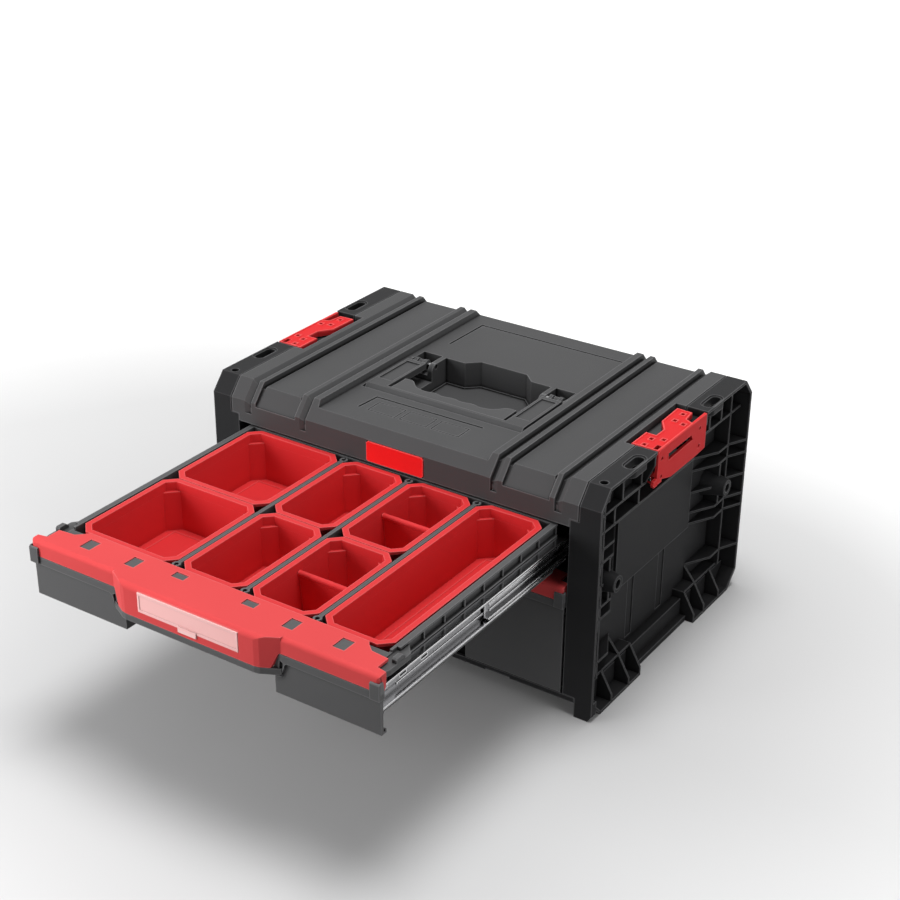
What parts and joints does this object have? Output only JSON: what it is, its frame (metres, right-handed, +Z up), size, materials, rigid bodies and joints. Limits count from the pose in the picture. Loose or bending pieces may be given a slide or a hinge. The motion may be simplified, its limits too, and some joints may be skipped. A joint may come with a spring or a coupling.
{
  "type": "drawer toolbox",
  "caption": "Stackable toolbox with ribbed sides, drawers on ball slides, lift-out bins, a fold-down carry handle and stacking latches, upper drawer open.",
  "frame": {"origin": "on the floor below the middle of the whole part as it stands, upper drawer open", "axes": "+X to the right seen from the front, +Y from the drawers' fronts to the back, +Z up"},
  "size_m": [0.45, 0.6082, 0.244],
  "materials": {
    "graphite": "fine moulded grain",
    "tray": "satin moulded",
    "grip": "soft matt",
    "red": "satin moulded",
    "bin": "smooth moulded",
    "window": "clear over pale pink",
    "card": "paper card",
    "zinc": "bright zinc"
  },
  "bodies": {
    "case": {"left_side_panel": "graphite", "right_side_panel": "graphite", "top_cover": "graphite", "base_plate": "graphite", "rear_panel": "graphite", "front_label_plate": "red", "handle_pins": "zinc", "left_latch_pin": "zinc", "right_latch_pin": "zinc", "case_screws": "zinc", "upper_left_outer_rail": "zinc", "upper_right_outer_rail": "zinc", "lower_left_outer_rail": "zinc", "lower_right_outer_rail": "zinc"},
    "upper_middle_rails": {"upper_left_middle_rail": "zinc", "upper_right_middle_rail": "zinc", "upper_left_ball_cages": "zinc", "upper_right_ball_cages": "zinc"},
    "lower_middle_rails": {"lower_left_middle_rail": "zinc", "lower_right_middle_rail": "zinc", "lower_left_ball_cages": "zinc", "lower_right_ball_cages": "zinc"},
    "upper_drawer": {"upper_tray": "tray", "upper_cap": "red", "upper_label_window": "window", "upper_label_card": "card", "upper_left_inner_rail": "zinc", "upper_right_inner_rail": "zinc", "left_divider_strip": "tray", "middle_divider_strip": "tray", "right_divider_strip": "tray"},
    "lower_drawer": {"lower_tray": "tray", "lower_cap": "red", "lower_label_window": "window", "lower_label_card": "card", "lower_left_inner_rail": "zinc", "lower_right_inner_rail": "zinc"},
    "wide_rear_bin": {"wide_bin_rear": "bin"},
    "wide_front_bin": {"wide_bin_front": "bin"},
    "middle_rear_bin": {"middle_bin_rear": "bin"},
    "middle_front_bin": {"middle_bin_front": "bin"},
    "split_rear_bin": {"split_bin_rear": "bin", "rear_cross_divider": "bin"},
    "split_front_bin": {"split_bin_front": "bin", "front_cross_divider": "bin"},
    "long_right_bin": {"long_bin": "bin"},
    "handle": {"carry_handle": "graphite", "handle_grip": "grip"},
    "left_stacking_latch": {"left_latch": "red"},
    "right_stacking_latch": {"right_latch": "red"}
  },
  "joints": [
    {"name": "upper_drawer_slide", "type": "slide", "parent": "case", "child": "upper_drawer", "axis": [0, -1, 0], "range_m": [-0.285, 0]},
    {"name": "upper_middle_slide", "type": "slide", "parent": "case", "child": "upper_middle_rails", "axis": [0, -1, 0], "range_m": [-0.1425, 0]},
    {"name": "lower_drawer_slide", "type": "slide", "parent": "case", "child": "lower_drawer", "axis": [0, -1, 0], "range_m": [0, 0.285]},
    {"name": "lower_middle_slide", "type": "slide", "parent": "case", "child": "lower_middle_rails", "axis": [0, -1, 0], "range_m": [0, 0.1425]},
    {"name": "handle_hinge", "type": "hinge", "parent": "case", "child": "handle", "pos_m": [0, 0.1571, 0.234], "axis": [-1, 0, 0], "range_deg": [0, 90]},
    {"name": "left_latch_hinge", "type": "hinge", "parent": "case", "child": "left_stacking_latch", "pos_m": [-0.2165, 0.1491, 0.211], "axis": [0, -1, 0], "range_deg": [0, 80]},
    {"name": "right_latch_hinge", "type": "hinge", "parent": "case", "child": "right_stacking_latch", "pos_m": [0.2165, 0.1491, 0.211], "axis": [0, 1, 0], "range_deg": [0, 80]},
    {"name": "wide_rear_bin_lift", "type": "slide", "parent": "upper_drawer", "child": "wide_rear_bin", "axis": [0, 0, 1], "range_m": [0, 0.065]},
    {"name": "wide_front_bin_lift", "type": "slide", "parent": "upper_drawer", "child": "wide_front_bin", "axis": [0, 0, 1], "range_m": [0, 0.065]},
    {"name": "middle_rear_bin_lift", "type": "slide", "parent": "upper_drawer", "child": "middle_rear_bin", "axis": [0, 0, 1], "range_m": [0, 0.065]},
    {"name": "middle_front_bin_lift", "type": "slide", "parent": "upper_drawer", "child": "middle_front_bin", "axis": [0, 0, 1], "range_m": [0, 0.065]},
    {"name": "split_rear_bin_lift", "type": "slide", "parent": "upper_drawer", "child": "split_rear_bin", "axis": [0, 0, 1], "range_m": [0, 0.065]},
    {"name": "split_front_bin_lift", "type": "slide", "parent": "upper_drawer", "child": "split_front_bin", "axis": [0, 0, 1], "range_m": [0, 0.065]},
    {"name": "long_right_bin_lift", "type": "slide", "parent": "upper_drawer", "child": "long_right_bin", "axis": [0, 0, 1], "range_m": [0, 0.065]}
  ],
  "couplings": [
    {"joint": "upper_middle_slide", "follows": "upper_drawer_slide", "ratio": 0.5},
    {"joint": "lower_middle_slide", "follows": "lower_drawer_slide", "ratio": 0.5}
  ]
}
